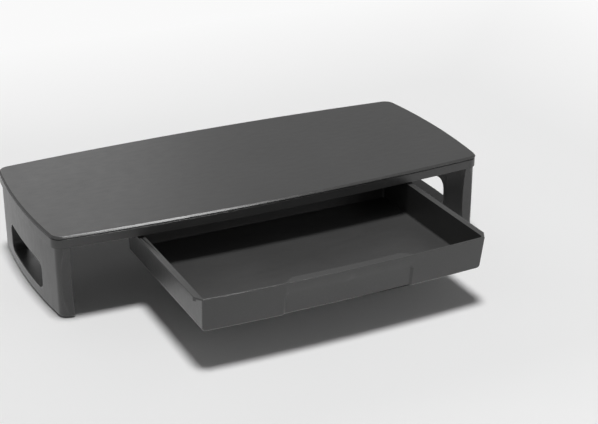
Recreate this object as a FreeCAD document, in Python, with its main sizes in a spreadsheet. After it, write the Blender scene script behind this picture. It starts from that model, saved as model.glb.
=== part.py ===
import FreeCAD, Part
import math
import os
import re
import Sketcher
from FreeCAD import Vector

# Monitor stand with a drawer, in millimetres. The origin is the centre of the platform's top
# face: +X is to the right, +Y to the back and +Z up, so the stand's front faces -Y and the desk
# lies below zero. The drawer is modelled pulled out, and slides along Y.

SIZES = [
    ("platform_width", 600, "over the bowed sides, at mid depth"),
    ("platform_depth", 265, "over the bowed front and back, at mid width"),
    ("stand_height", 108, "desk to top face"),
    ("front_bow", 12.3, "how far the front and back edges swell out"),
    ("side_bow", 8.2, "how far the side edges swell out"),
    ("corner_radius", 15, "platform corners, seen from above"),
    ("top_skin", 3.2, "thickness of the top"),
    ("lip_height", 3.2, "rounded lip round the top"),
    ("lip_rounding", 2.4, "top edge of the lip"),
    ("groove_height", 1.4, "shadow groove under the lip"),
    ("groove_depth", 1.6, "groove, behind the lip's edge"),
    ("skirt_bottom", 16, "top face down to the skirt's lower edge"),
    ("skirt_inset", 0.5, "skirt, behind the lip's edge"),
    ("skirt_wall", 2.5, "thickness of the skirt"),
    ("rib_bottom", 8, "top face down to the ribs that carry legs and rails"),
    ("rib_width", 1.8, "thickness of the ribs"),
    ("rib_pitch", 50, "spacing of the ribs along the width"),
    ("row_pitch", 44, "spacing of the ribs along the depth"),
    ("beam_bottom", 14, "top face down to the deep ribs over the drawer"),
    ("boss_radius", 4.5, "screw bosses under the top"),
    ("pilot_radius", 1.6, "holes in the screw bosses"),
    ("pilot_depth", 5.6, "depth of the holes in the bosses"),
    ("leg_side_inset", 3.4, "leg's outer face, behind the lip's edge"),
    ("leg_front_inset", 0.7, "leg's front, behind the lip's edge"),
    ("leg_inner", 272.5, "centre to the leg's inner face"),
    ("leg_corner", 12, "rounding of the leg's front and rear corners"),
    ("leg_waist", 2.4, "how far the leg's front and rear draw in at mid height"),
    ("window_half", 65, "half length of the window in the leg"),
    ("window_top", 55, "top face down to the window"),
    ("window_bottom", 92, "top face down to the window's lower edge"),
    ("window_radius", 11, "corners of the window"),
    ("waist_start", 1.6, "where the waist's curve starts, in front of the leg"),
    ("leg_wall", 2.6, "front and rear walls of the hollow leg, at its waist"),
    ("outer_wall", 3.6, "leg's outer wall at its ends"),
    ("leg_head", 3.6, "thickness of the leg over its hollow"),
    ("leg_sole", 4.6, "thickness of the leg under its hollow"),
    ("cover_plate", 2.4, "thickness of the leg's inner cover"),
    ("cover_gap", 0.3, "play round the cover"),
    ("cover_ledge", 1.5, "ledge that the cover rests on"),
    ("rim_width", 11, "solid rim round the window"),
    ("rim_chamfer", 3, "bevel of the window's inner edge"),
    ("flange_reach", 32, "leg's mounting flange, inwards from the leg"),
    ("flange_plate", 3, "thickness of the mounting flange"),
    ("flange_end", 12, "end of the leg to the end of its flange"),
    ("plug_end", 14, "end of the leg to the plug inside the skirt"),
    ("plug_gap", 0.6, "leg's outer face to the plug"),
    ("gusset_end", 6, "edge of the flange to its gussets"),
    ("screw_pitch", 176, "spacing of the screws, front to rear"),
    ("foot_width", 12, "rubber feet, across the leg"),
    ("foot_length", 30, "rubber feet, along the leg"),
    ("foot_height", 2.5, "how far the rubber feet stand out"),
    ("foot_seat", 1, "depth of the seats that the feet are glued in"),
    ("foot_y", 92, "feet, in front of and behind the middle"),
    ("foot_x", 281.5, "centre to the feet"),
    ("pull_out", 181, "how far the drawer stands open"),
    ("drawer_closed_front", 131, "closed drawer's front, in front of the middle"),
    ("drawer_top", 18.5, "top face down to the drawer's rim"),
    ("drawer_bottom", 61.8, "top face down to the drawer's underside"),
    ("drawer_half", 183.4, "half width over the side walls, at the rim"),
    ("drawer_depth", 249, "front to back at the rim"),
    ("drawer_bow", 5.7, "how far the drawer's front swells out"),
    ("side_draft", 1.6, "side walls draw in by this to the floor"),
    ("front_lean", 6.3, "the front draws back by this to the floor"),
    ("back_draft", 2.5, "the back wall draws in by this to the floor"),
    ("drawer_wall", 2.5, "thickness of the drawer's walls"),
    ("drawer_floor", 2.6, "thickness of the drawer's floor"),
    ("drawer_edge", 4.5, "rounding between the side walls and the underside"),
    ("back_corner", 4, "rounding round the drawer's rear"),
    ("inside_corner", 3.5, "upright corners inside the drawer"),
    ("hook_reach", 189.4, "half width over the hooked flanges"),
    ("hook_plate", 2.2, "thickness of the hooked flanges"),
    ("hook_drop", 5, "height of the hook's outer lip"),
    ("hook_chamfer", 0.6, "bevel of the hooked flange's outer edge"),
    ("hook_start", 6.1, "front of the drawer to the hooked flanges"),
    ("hook_end", 1, "rear of the drawer to the hooked flanges"),
    ("pull_half", 84, "half width of the finger pull at the rim"),
    ("pull_slant", 13, "slanted ends of the pull's ledge"),
    ("ledge_depth", 12, "depth of the ledge over the finger pull"),
    ("scoop_back", 28, "pull's inner wall at the floor, behind the front"),
    ("pull_front_wall", 4.3, "wall at the pull's slanted ends, along the front"),
    ("pull_rear_wall", 1, "the same wall, along the pull's rear"),
    ("thumb_depth", 2.5, "depth of the shallow recess in the front"),
    ("thumb_start", 30.5, "top face down to where the recess starts"),
    ("thumb_full", 36.5, "top face down to where it reaches its depth"),
    ("thumb_corner", 7, "slanted ends of the recess"),
    ("thumb_fade", 0.05, "recess, in front of the face at its ends"),
    ("catch_front", 30.5, "rear of the drawer to its stop catch"),
    ("catch_length", 6, "length of the stop catches"),
    ("catch_height", 0.9, "height of the stop catches"),
    ("catch_gap", 0.4, "drawer's wall to the catches and the rails' end stops"),
    ("catch_inset", 0.8, "catches, inside the hooked flange's edge"),
    ("rail_front", 108, "front end of the rails, in front of the middle"),
    ("rail_back", 119.5, "rear end of the rails, behind the middle"),
    ("rail_wall", 2, "thickness of the rail"),
    ("rail_play", 0.8, "gap between the rail and the drawer's hook"),
    ("rail_lift", 0.25, "gap between the hook and the rail's floor"),
    ("guide_gap", 1.3, "gap between the hook and the guide over it"),
    ("guide_reach", 7, "width of the guide over the hook"),
    ("tongue_gap", 1, "gap between the hook's lip and the rail's tongue"),
    ("tongue_play", 0.6, "gap between the hooked flange and the tongue under it"),
    ("tongue_wall", 1.5, "thickness of the tongue"),
    ("stop_inset", 1, "front stop, behind the guide's edge"),
    ("wing_reach", 13, "width of the rail's mounting wing"),
    ("screw_head_radius", 3.4, "pan heads of the screws"),
    ("screw_head_height", 2.2, "pan heads of the screws"),
    ("screw_shank_radius", 1.55, "shanks of the screws"),
    ("screw_grip", 4.8, "length of a shank inside its boss"),
    ("overlap", 0.5, "how far joined forms run into each other"),
    ("cut_beyond", 1, "how far cuts run past the solid"),
    ("stock", 9, "what is cut away in front of the drawer"),
]

NEAR = 0.01
QUARTER = "(1 - sqrt(0.5))"
CORNER_X = "(platform_width / 2 - side_bow)"
CORNER_Y = "(platform_depth / 2 - front_bow)"
LEG_SCREW_X = "(5 * rib_pitch)"
RAIL_SCREW_X = "(4 * rib_pitch)"

doc = FreeCAD.newDocument("MonitorStand")
sheet = doc.addObject("Spreadsheet::Sheet", "Sizes")
names = [name for name, _, _ in SIZES]


def fill_sheet():
    for row, (name, value, note) in enumerate(SIZES, start=1):
        sheet.set(f"A{row}", name)
        sheet.set(f"B{row}", str(value))
        sheet.set(f"C{row}", note)
        sheet.setAlias(f"B{row}", name)
    doc.recompute()


def bound(words):
    """The same expression, with each sheet name written as Sizes.name."""
    return re.sub(r"[a-z_]+", lambda m: "Sizes." + m.group() if m.group() in names else m.group(), words)


def worth(words):
    """The number that an expression has now."""
    return float(sheet.evalExpression(bound(words)))


def set_size(thing, prop, words):
    thing.setExpression(prop, bound(words))


def new_body(label):
    body = doc.addObject("PartDesign::Body", label)
    body.Label = label
    return body


def new_sketch(body, name, plane="XY_Plane", offset="0"):
    """A sketch on one of the body's own origin planes, moved along the plane's normal."""
    sketch = body.newObject("Sketcher::SketchObject", name)
    support = [item for item in body.Origin.OriginFeatures if item.Role == plane][0]
    sketch.AttachmentSupport = (support, [""])
    sketch.MapMode = "FlatFace"
    set_size(sketch, "AttachmentOffset.Base.z", offset)
    return sketch


def pin(sketch, geometry, end, x_words, y_words):
    """Hold one end of a line or arc, or a circle's centre, at a place given by the sheet."""
    for kind, words in (("DistanceX", x_words), ("DistanceY", y_words)):
        index = sketch.addConstraint(Sketcher.Constraint(kind, -1, 1, geometry, end, worth(words)))
        sketch.setExpression(f"Constraints[{index}]", bound(words))


def draw_outline(sketch, corners):
    """A closed outline, drawn anticlockwise. A corner is (x, y), or (x, y, bow) where the side
    that starts there is an arc that swells out by bow, or in where bow is negative."""
    points = [Vector(worth(corner[0]), worth(corner[1]), 0) for corner in corners]
    sides = []
    for number, corner in enumerate(corners):
        start = points[number]
        finish = points[(number + 1) % len(points)]
        if len(corner) == 2:
            geometry = sketch.addGeometry(Part.LineSegment(start, finish), False)
            sides.append((geometry, 1, 2))
            continue
        bow = worth(corner[2])
        chord = finish - start
        radius = (chord.Length ** 2 / 4 + bow ** 2) / (2 * abs(bow))
        outward = Vector(chord.y, -chord.x, 0).normalize()
        centre = (start + finish) * 0.5 + outward * (bow - math.copysign(radius, bow))
        first = math.atan2(start.y - centre.y, start.x - centre.x)
        last = math.atan2(finish.y - centre.y, finish.x - centre.x)
        circle = Part.Circle(centre, Vector(0, 0, 1), radius)
        if bow > 0:
            geometry = sketch.addGeometry(Part.ArcOfCircle(circle, first, last), False)
            sides.append((geometry, 1, 2))
        else:
            geometry = sketch.addGeometry(Part.ArcOfCircle(circle, last, first), False)
            sides.append((geometry, 2, 1))
        following = corners[(number + 1) % len(corners)]
        run_x = f"(({following[0]}) - ({corner[0]}))"
        run_y = f"(({following[1]}) - ({corner[1]}))"
        swell = f"abs({corner[2]})"
        words = f"({run_x}^2 / 4 + {run_y}^2 / 4 + {swell}^2) / (2 * {swell})"
        index = sketch.addConstraint(Sketcher.Constraint("Radius", geometry, radius))
        sketch.setExpression(f"Constraints[{index}]", bound(words))
    for number, (geometry, start, finish) in enumerate(sides):
        pin(sketch, geometry, start, corners[number][0], corners[number][1])
        after = sides[(number + 1) % len(sides)]
        sketch.addConstraint(Sketcher.Constraint("Coincident", geometry, finish, after[0], after[1]))


def box_corners(x_low, x_high, y_low, y_high):
    return [(x_low, y_low), (x_high, y_low), (x_high, y_high), (x_low, y_high)]


def draw_box(sketch, x_low, x_high, y_low, y_high):
    draw_outline(sketch, box_corners(x_low, x_high, y_low, y_high))


def across(corners):
    """The same outline on the other side of the middle, still anticlockwise."""
    turned = []
    for number in reversed(range(len(corners))):
        x, y = corners[number][:2]
        turned.append((f"-({x})", y) + corners[number - 1][2:])
    return turned


def mirrored(side):
    """What turns an outline drawn for the right side, 1, into the one for a side."""
    return across if side < 0 else lambda corners: corners


def draw_rounded_box(sketch, x_low, x_high, y_low, y_high, radius):
    bow = f"({radius}) * {QUARTER}"
    draw_outline(sketch, [
        (f"{x_low} + ({radius})", y_low),
        (f"{x_high} - ({radius})", y_low, bow),
        (x_high, f"{y_low} + ({radius})"),
        (x_high, f"{y_high} - ({radius})", bow),
        (f"{x_high} - ({radius})", y_high),
        (f"{x_low} + ({radius})", y_high, bow),
        (x_low, f"{y_high} - ({radius})"),
        (x_low, f"{y_low} + ({radius})", bow),
    ])


def draw_circle(sketch, x_words, y_words, radius):
    circle = Part.Circle(Vector(worth(x_words), worth(y_words), 0), Vector(0, 0, 1), worth(radius))
    geometry = sketch.addGeometry(circle, False)
    pin(sketch, geometry, 3, x_words, y_words)
    index = sketch.addConstraint(Sketcher.Constraint("Radius", geometry, worth(radius)))
    sketch.setExpression(f"Constraints[{index}]", bound(radius))


def pad(body, sketch, length, name, reversed_way=False):
    feature = body.newObject("PartDesign::Pad", name)
    feature.Profile = sketch
    feature.Reversed = reversed_way
    set_size(feature, "Length", length)
    sketch.Visibility = False
    doc.recompute()
    return feature


def pocket(body, sketch, length, name, reversed_way=False):
    """A cut, which has to take something away."""
    before = body.Shape.Volume
    feature = body.newObject("PartDesign::Pocket", name)
    feature.Profile = sketch
    feature.Reversed = reversed_way
    set_size(feature, "Length", length)
    doc.recompute()
    if body.Shape.Volume > before - 0.1:
        raise RuntimeError(f"{name} cuts nothing")
    return feature


def loft(body, kind, sketches, name):
    feature = body.newObject(f"PartDesign::{kind}", name)
    feature.Profile = sketches[0]
    feature.Sections = sketches[1:]
    feature.Ruled = True
    doc.recompute()
    return feature


def box_of(edge):
    """Box round points on an edge, which is tighter than the edge's own box."""
    box = FreeCAD.BoundBox()
    for point in edge.discretize(9):
        box.add(point)
    return box


def ease_edges(body, base, kind, size, test, name):
    """A Fillet or Chamfer on the edges whose boxes pass the test."""
    edges = [f"Edge{number}" for number, edge in enumerate(base.Shape.Edges, start=1) if test(box_of(edge))]
    if not edges:
        raise RuntimeError(f"{name} finds no edge")
    feature = body.newObject(f"PartDesign::{kind}", name)
    feature.Base = (base, edges)
    set_size(feature, "Radius" if kind == "Fillet" else "Size", size)
    doc.recompute()
    if feature.Shape.isNull():
        raise RuntimeError(f"{name} fails on {len(edges)} edges")
    return feature


def round_edges(body, base, radius, test, name):
    return ease_edges(body, base, "Fillet", radius, test, name)


def upright(low, high):
    """A test for vertical edges that span from low to high."""
    return lambda box: (box.XLength < 1 and box.YLength < 1
                        and abs(box.ZMin - low) < NEAR and abs(box.ZMax - high) < NEAR)


def draw_bowed_plan(sketch, inset):
    """The platform's outline seen from above, drawn in by an inset."""
    x = f"({CORNER_X} - ({inset}))"
    y = f"({CORNER_Y} - ({inset}))"
    draw_outline(sketch, [
        (f"-{x}", f"-{y}", "front_bow"),
        (x, f"-{y}", "side_bow"),
        (x, y, "front_bow"),
        (f"-{x}", y, "side_bow"),
    ])


def screw_places(x_words):
    """The front and the rear screw at a distance from the middle, under crossings of the ribs."""
    return [(x_words, "-screw_pitch / 2"), (x_words, "screw_pitch / 2")]


def all_screws():
    places = []
    for side in (1, -1):
        places += screw_places(f"{side} * {LEG_SCREW_X}") + screw_places(f"{side} * {RAIL_SCREW_X}")
    return places


def make_platform():
    """Top moulding: bowed plate with a rounded lip, a shadow groove, a skirt, ribs and bosses."""
    body = new_body("platform")
    layers = [
        ("core", "0", "skirt_bottom", "groove_depth"),
        ("skirt", "lip_height + groove_height", "skirt_bottom", "skirt_inset"),
        ("lip", "0", "lip_height", "0"),
    ]
    for name, top, bottom, inset in layers:
        plan = new_sketch(body, f"{name}_plan", offset=f"-({top})")
        draw_bowed_plan(plan, inset)
        pad(body, plan, f"{bottom} - ({top})", f"{name}_pad", True)
    hollow = new_sketch(body, "hollow_plan", offset="-skirt_bottom")
    draw_bowed_plan(hollow, "(skirt_inset + skirt_wall)")
    shape = pocket(body, hollow, "skirt_bottom - top_skin", "hollow", True)
    corners = [
        ("hollow", "skirt_inset + skirt_wall", "skirt_bottom", "top_skin"),
        ("skirt", "skirt_inset", "skirt_bottom", "(lip_height + groove_height)"),
        ("groove", "groove_depth", "(lip_height + groove_height)", "lip_height"),
        ("lip", "0", "lip_height", "0"),
    ]
    for name, inset, low, high in corners:
        edges = upright(-worth(low), -worth(high))
        shape = round_edges(body, shape, f"corner_radius - ({inset})", edges, f"{name}_corners")
    round_edges(body, shape, "lip_rounding", lambda box: box.ZMin > -NEAR, "lip_edge")
    add_ribs(body)
    bosses = new_sketch(body, "boss_plan", offset="-top_skin")
    pilots = new_sketch(body, "pilot_plan", offset="-rib_bottom")
    for x, y in all_screws():
        draw_circle(bosses, x, y, "boss_radius")
        draw_circle(pilots, x, y, "pilot_radius")
    pad(body, bosses, "rib_bottom - top_skin", "bosses", True)
    pocket(body, pilots, "pilot_depth", "pilot_holes", True)
    return body


def add_ribs(body):
    """Ribs under the top: a shallow grid that carries legs and rails, and deep beams between them."""
    wall_middle = "(skirt_inset + skirt_wall / 2)"
    rows = new_sketch(body, "row_plan", offset="-top_skin")
    for step in (-2, 0, 2):
        y = f"({step} * row_pitch)"
        reach = f"(platform_width / 2 - {wall_middle} - side_bow * ({y} / {CORNER_Y})^2)"
        draw_box(rows, f"-{reach}", reach, f"{y} - rib_width / 2", f"{y} + rib_width / 2")
    pad(body, rows, "rib_bottom - top_skin", "rows", True)
    columns = new_sketch(body, "column_plan", offset="-top_skin")
    for step in (-5, -4, -2, 0, 2, 4, 5):
        x = f"({step} * rib_pitch)"
        reach = f"(platform_depth / 2 - {wall_middle} - front_bow * ({x} / {CORNER_X})^2)"
        draw_box(columns, f"{x} - rib_width / 2", f"{x} + rib_width / 2", f"-{reach}", reach)
    pad(body, columns, "rib_bottom - top_skin", "columns", True)
    beams = new_sketch(body, "beam_plan", offset="-top_skin")
    for step in (-1.5, -0.5, 0.5, 1.5):
        y = f"({step} * row_pitch)"
        reach = "(3 * rib_pitch + rib_width / 2)"
        draw_box(beams, f"-{reach}", reach, f"{y} - rib_width / 2", f"{y} + rib_width / 2")
    pad(body, beams, "beam_bottom - top_skin", "beams", True)


def leg_outline():
    """The right leg seen from above: its outer side follows the platform's bowed side."""
    x = f"({CORNER_X} - leg_side_inset)"
    y = f"({CORNER_Y} - leg_front_inset)"
    inner = f"({y} + front_bow * (1 - (leg_inner / {CORNER_X})^2))"
    return [("leg_inner", f"-{inner}"), (x, f"-{y}", "side_bow"), (x, y), ("leg_inner", inner)]


def cover_outline(grown):
    """The opening behind a leg's cover, an arch over the window, grown by the given amount."""
    side = f"(window_half + rim_width - ({grown}))"
    end = f"({CORNER_Y} - leg_front_inset - leg_waist - leg_wall - cover_ledge + ({grown}))"
    low = f"-(stand_height - foot_height - leg_sole + ({grown}))"
    high = f"-(skirt_bottom + leg_head - ({grown}))"
    arch = f"-(window_top - rim_width + ({grown}))"
    return [
        (f"-{end}", low), (f"-{side}", low), (f"-{side}", arch), (side, arch),
        (side, low), (end, low), (end, high), (f"-{end}", high),
    ]


def make_leg_shell(label, side):
    """Outer moulding of a leg: window, drawn-in front and rear, mounting flange with gussets."""
    body = new_body(label)
    right = side > 0
    inward = mirrored(side)
    plan = new_sketch(body, "leg_plan", offset="-skirt_bottom")
    draw_outline(plan, inward(leg_outline()))
    panel = pad(body, plan, "stand_height - foot_height - skirt_bottom", "panel", True)
    outer = worth(f"{CORNER_X} - leg_side_inset")
    is_corner = upright(worth("foot_height - stand_height"), -worth("skirt_bottom"))
    round_edges(body, panel, "leg_corner",
                lambda box: is_corner(box) and abs(abs(box.XMin) - outer) < 0.1, "outer_corners")
    face = "leg_inner" if right else "-leg_inner"
    waist = new_sketch(body, "waist", "YZ_Plane", face)
    y = f"({CORNER_Y} - leg_front_inset)"
    start = f"({y} + waist_start)"
    low = "(foot_height - stand_height + cut_beyond)"
    high = "(-skirt_bottom - cut_beyond)"
    front_cut = [(f"-({start} + stock)", low), (f"-{start}", low, "leg_waist + waist_start"),
                 (f"-{start}", high), (f"-({start} + stock)", high)]
    draw_outline(waist, front_cut)
    draw_outline(waist, across(front_cut))
    pocket(body, waist, "platform_width", "waist_cut", right)
    window = new_sketch(body, "window", "YZ_Plane", face)
    draw_rounded_box(window, "-window_half", "window_half", "-window_bottom", "-window_top", "window_radius")
    cut = pocket(body, window, "platform_width", "window_cut", right)
    inner = worth("leg_inner")
    reach = worth("window_half") + NEAR
    ease_edges(body, cut, "Chamfer", "rim_chamfer",
               lambda box: (box.XLength < NEAR and abs(abs(box.XMin) - inner) < NEAR
                            and box.ZMin > -worth("window_bottom") - NEAR
                            and box.ZMax < -worth("window_top") + NEAR
                            and max(abs(box.YMin), abs(box.YMax)) < reach), "rim_edge")
    add_leg_flange(body, side)
    rebate = new_sketch(body, "rebate", "YZ_Plane", face)
    draw_outline(rebate, cover_outline("cover_ledge"))
    pocket(body, rebate, "cover_plate", "rebate_cut", right)
    hollow = new_sketch(body, "hollow", "YZ_Plane", face)
    draw_outline(hollow, cover_outline("0"))
    pocket(body, hollow, f"{CORNER_X} - leg_side_inset - outer_wall - leg_inner", "hollow_cut", right)
    seats = new_sketch(body, "foot_seats", offset="foot_height - stand_height")
    for end in (1, -1):
        draw_outline(seats, foot_outline(f"{side} * foot_x", f"{end} * foot_y", "cover_gap"))
    pocket(body, seats, "foot_seat", "seat_cut", True)
    return body


def add_leg_flange(body, side):
    """What rises inside the skirt: a plug on top of the leg and the flange that is screwed on."""
    inward = mirrored(side)
    plug = new_sketch(body, "plug_plan", offset="-skirt_bottom")
    draw_outline(plug, inward(box_corners(
        "leg_inner", f"({CORNER_X} - leg_side_inset - plug_gap)",
        f"-({CORNER_Y} - plug_end)", f"({CORNER_Y} - plug_end)")))
    pad(body, plug, "skirt_bottom - rib_bottom", "plug")
    flange = new_sketch(body, "flange_plan", offset="-(rib_bottom + flange_plate)")
    draw_outline(flange, inward(box_corners(
        "(leg_inner - flange_reach)", "(leg_inner + overlap)",
        f"-({CORNER_Y} - flange_end)", f"({CORNER_Y} - flange_end)")))
    pad(body, flange, "flange_plate", "flange")
    for step in (-1.5, -0.5, 0.5, 1.5):
        gusset = new_sketch(body, "gusset", "XZ_Plane", f"{step} * row_pitch - rib_width / 2")
        under = "-(rib_bottom + flange_plate - overlap)"
        draw_outline(gusset, inward([
            ("(leg_inner - flange_reach + gusset_end)", under),
            ("(leg_inner + overlap)", "-(skirt_bottom - overlap)"), ("(leg_inner + overlap)", under)]))
        pad(body, gusset, "rib_width", "gusset_pad")
    holes = new_sketch(body, "flange_holes", offset="-(rib_bottom + flange_plate)")
    for x, y in screw_places(f"{side} * {LEG_SCREW_X}"):
        draw_circle(holes, x, y, "screw_shank_radius + cover_gap")
    pocket(body, holes, "flange_plate", "flange_hole_cut", True)


def make_leg_cover(label, side):
    """Flat inner cover of a leg, an arch over the window, let into the shell."""
    body = new_body(label)
    face = "leg_inner" if side > 0 else "-leg_inner"
    plate = new_sketch(body, "cover_outline", "YZ_Plane", face)
    draw_outline(plate, cover_outline("cover_ledge - cover_gap"))
    pad(body, plate, "cover_plate", "cover_pad", side < 0)
    return body


def foot_outline(x, y, grown):
    return box_corners(f"({x} - foot_width / 2 - {grown})", f"({x} + foot_width / 2 + {grown})",
                       f"({y} - foot_length / 2 - {grown})", f"({y} + foot_length / 2 + {grown})")


def make_foot(label, x, y):
    """Rubber pad, glued into its seat under the leg."""
    body = new_body(label)
    plan = new_sketch(body, "foot_plan", offset="foot_height - stand_height + foot_seat")
    draw_outline(plan, foot_outline(x, y, "0"))
    pad(body, plan, "foot_height + foot_seat", "foot_pad", True)
    return body


def depth_share(depth):
    """How far a level lies between the drawer's rim, 0, and its underside, 1."""
    return f"((({depth}) - drawer_top) / (drawer_bottom - drawer_top))"


def front_at(x, depth):
    """The drawer's outer front face at a distance from the middle and a depth."""
    return f"(drawer_bow * (({x}) / drawer_half)^2 + front_lean * {depth_share(depth)})"


def swell(half_length):
    """How far a stretch of the drawer's front arc swells over its chord."""
    return f"(drawer_bow * (({half_length}) / drawer_half)^2)"


def before_front(depth):
    """What lies in front of the drawer's bowed, leaning front at a level."""
    half = "(drawer_half + cut_beyond)"
    face = front_at(half, depth)
    return [(f"-{half}", "-stock"), (half, "-stock"), (half, face, f"-{swell(half)}"), (f"-{half}", face)]


def cavity_outline(depth):
    """Inside of the drawer: the front wall steps back over the finger pull."""
    half = f"(drawer_half - drawer_wall - side_draft * {depth_share(depth)})"
    back = f"(drawer_depth - drawer_wall - back_draft * {depth_share(depth)})"
    turn = f"({half} - inside_corner)"
    corner = f"({front_at(turn, depth)} + drawer_wall)"
    outer = f"({front_at('pull_half', depth)} + drawer_wall)"
    narrow = "(pull_half - pull_slant)"
    ledge = f"(ledge_depth + (scoop_back - ledge_depth) * {depth_share(depth)} + {swell(narrow)})"
    flank = swell(f"({turn} - pull_half) / 2")
    bow = f"(inside_corner * {QUARTER})"
    return [
        (f"-{turn}", corner, flank), ("-pull_half", outer), (f"-{narrow}", ledge, swell(narrow)),
        (narrow, ledge), ("pull_half", outer, flank), (turn, corner, bow),
        (half, f"({corner} + inside_corner)"), (half, f"({back} - inside_corner)", bow),
        (turn, back), (f"-{turn}", back, bow),
        (f"-{half}", f"({back} - inside_corner)"), (f"-{half}", f"({corner} + inside_corner)", bow),
    ]


def pull_outline(depth, recess):
    """Hollow of the finger pull, between the front skin and the stepped-back wall."""
    wide = "(pull_half - pull_front_wall)"
    narrow = "(pull_half - pull_slant - pull_rear_wall)"
    front = f"({front_at(wide, depth)} + drawer_wall + {recess})"
    back = f"(ledge_depth + (scoop_back - ledge_depth) * {depth_share(depth)} - drawer_wall + {swell(narrow)})"
    return [(f"-{wide}", front, swell(wide)), (wide, front), (narrow, back, f"-{swell(narrow)}"),
            (f"-{narrow}", back)]


def recess_outline(depth, recess):
    """What is cut off the front for the thumb: flush at its ends, deeper between them."""
    inner = "(pull_half - thumb_corner)"
    face = f"({front_at('pull_half', depth)} - thumb_fade)"
    floor = f"({front_at(inner, depth)} + {recess} - thumb_fade)"
    return [("-pull_half", "-stock"), ("pull_half", "-stock"), ("pull_half", face),
            (inner, floor, f"-{swell(inner)}"), (f"-{inner}", floor), ("-pull_half", face)]


def stacked(body, name, outlines):
    """Sketches of outlines at their depths below the top face."""
    sketches = []
    for number, (depth, outline) in enumerate(outlines):
        sketch = new_sketch(body, f"{name}_{number}", offset=f"-({depth})")
        draw_outline(sketch, outline)
        sketches.append(sketch)
    doc.recompute()
    return sketches


def make_drawer():
    """Drawer moulding, drawn from the middle of its front's top edge, which its Placement moves."""
    body = new_body("drawer")
    set_size(body, "Placement.Base.y", "-(drawer_closed_front + pull_out)")
    tub = new_sketch(body, "tub_section", "XZ_Plane")
    low_half = "(drawer_half - side_draft)"
    draw_outline(tub, [(f"-{low_half}", "-drawer_bottom"), (low_half, "-drawer_bottom"),
                       ("drawer_half", "-drawer_top"), ("-drawer_half", "-drawer_top")])
    block = pad(body, tub, "drawer_depth", "tub", True)
    low = NEAR - worth("drawer_bottom")
    round_edges(body, block, "drawer_edge", lambda box: box.ZMax < low and box.XLength < 1, "long_edges")
    over = "(drawer_top - cut_beyond)"
    under = "(drawer_bottom + cut_beyond)"
    front = [(depth, before_front(depth)) for depth in (over, under)]
    loft(body, "SubtractiveLoft", stacked(body, "front", front), "front_face")
    rear = new_sketch(body, "rear_cut", "YZ_Plane", "-(drawer_half + cut_beyond)")
    beyond = "drawer_depth + cut_beyond"
    draw_outline(rear, [("drawer_depth - back_draft", "-drawer_bottom"), (beyond, "-drawer_bottom"),
                        (beyond, "-drawer_top"), ("drawer_depth", "-drawer_top")])
    tub = pocket(body, rear, "2 * (drawer_half + cut_beyond)", "rear_face", True)
    rim = -worth("drawer_top + cut_beyond")
    behind = worth("drawer_depth - back_draft - cut_beyond")
    round_edges(body, tub, "back_corner", lambda box: box.YMin > behind and box.ZMin < rim, "rear_edges")
    add_hooks(body)
    cavity = [(depth, cavity_outline(depth)) for depth in (over, "(drawer_bottom - drawer_floor)")]
    loft(body, "SubtractiveLoft", stacked(body, "cavity", cavity), "cavity")
    steps = [("(drawer_top + hook_plate)", "0"), ("thumb_start", "0"), ("thumb_full", "thumb_depth"),
             (under, "thumb_depth")]
    pull = [(depth, pull_outline(depth, recess)) for depth, recess in steps]
    loft(body, "SubtractiveLoft", stacked(body, "pull", pull), "finger_pull")
    thumb = [(depth, recess_outline(depth, recess)) for depth, recess in steps[1:]]
    loft(body, "SubtractiveLoft", stacked(body, "thumb", thumb), "thumb_recess")
    return body


def add_hooks(body):
    """Flanges along both sides, turned down at the edge, with a stop catch near the rear."""
    hook = new_sketch(body, "hook", "XZ_Plane", "-hook_start")
    root = "(drawer_half - side_draft)"
    plate = "-(drawer_top + hook_plate)"
    lip = "-(drawer_top + hook_drop)"
    draw_outline(hook, [
        (root, plate), ("hook_reach - hook_plate", plate), ("hook_reach - hook_plate", lip),
        ("hook_reach", lip), ("hook_reach", "-(drawer_top + hook_chamfer)"),
        ("hook_reach - hook_chamfer", "-drawer_top"), (root, "-drawer_top"),
    ])
    hooks = pad(body, hook, "drawer_depth - hook_start - hook_end", "hook_pad", True)
    catch = new_sketch(body, "catch", offset="-(drawer_top + overlap)")
    draw_box(catch, "drawer_half + catch_gap", "hook_reach - catch_inset",
             "(drawer_depth - catch_front)", "(drawer_depth - catch_front + catch_length)")
    catches = pad(body, catch, "catch_height + overlap", "catch_pad")
    both = body.newObject("PartDesign::Mirrored", "both_sides")
    both.Originals = [hooks, catches]
    plane = [item for item in body.Origin.OriginFeatures if item.Role == "YZ_Plane"][0]
    both.MirrorPlane = (plane, [""])
    body.Tip = both
    doc.recompute()


def rail_outline():
    """Section of the right rail: wing, web, guide over the drawer's hook and the groove under it."""
    inner = "(hook_reach + rail_play)"
    web = f"({inner} + rail_wall)"
    wing = f"({web} + wing_reach)"
    seat = "-(drawer_top + hook_drop + rail_lift)"
    under = f"({seat} - rail_wall)"
    guide = "-(drawer_top - guide_gap)"
    tongue = "(hook_reach - hook_plate - tongue_gap)"
    tip = "-(drawer_top + hook_plate + tongue_play)"
    return [
        (web, under), (web, "-(rib_bottom + rail_wall)"), (wing, "-(rib_bottom + rail_wall)"),
        (wing, "-rib_bottom"), (inner, "-rib_bottom"), (inner, f"({guide} + rail_wall)"),
        (f"({inner} - guide_reach)", f"({guide} + rail_wall)"), (f"({inner} - guide_reach)", guide),
        (inner, guide), (inner, seat), (tongue, seat), (tongue, tip),
        (f"({tongue} - tongue_wall)", tip), (f"({tongue} - tongue_wall)", under),
    ]


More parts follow.
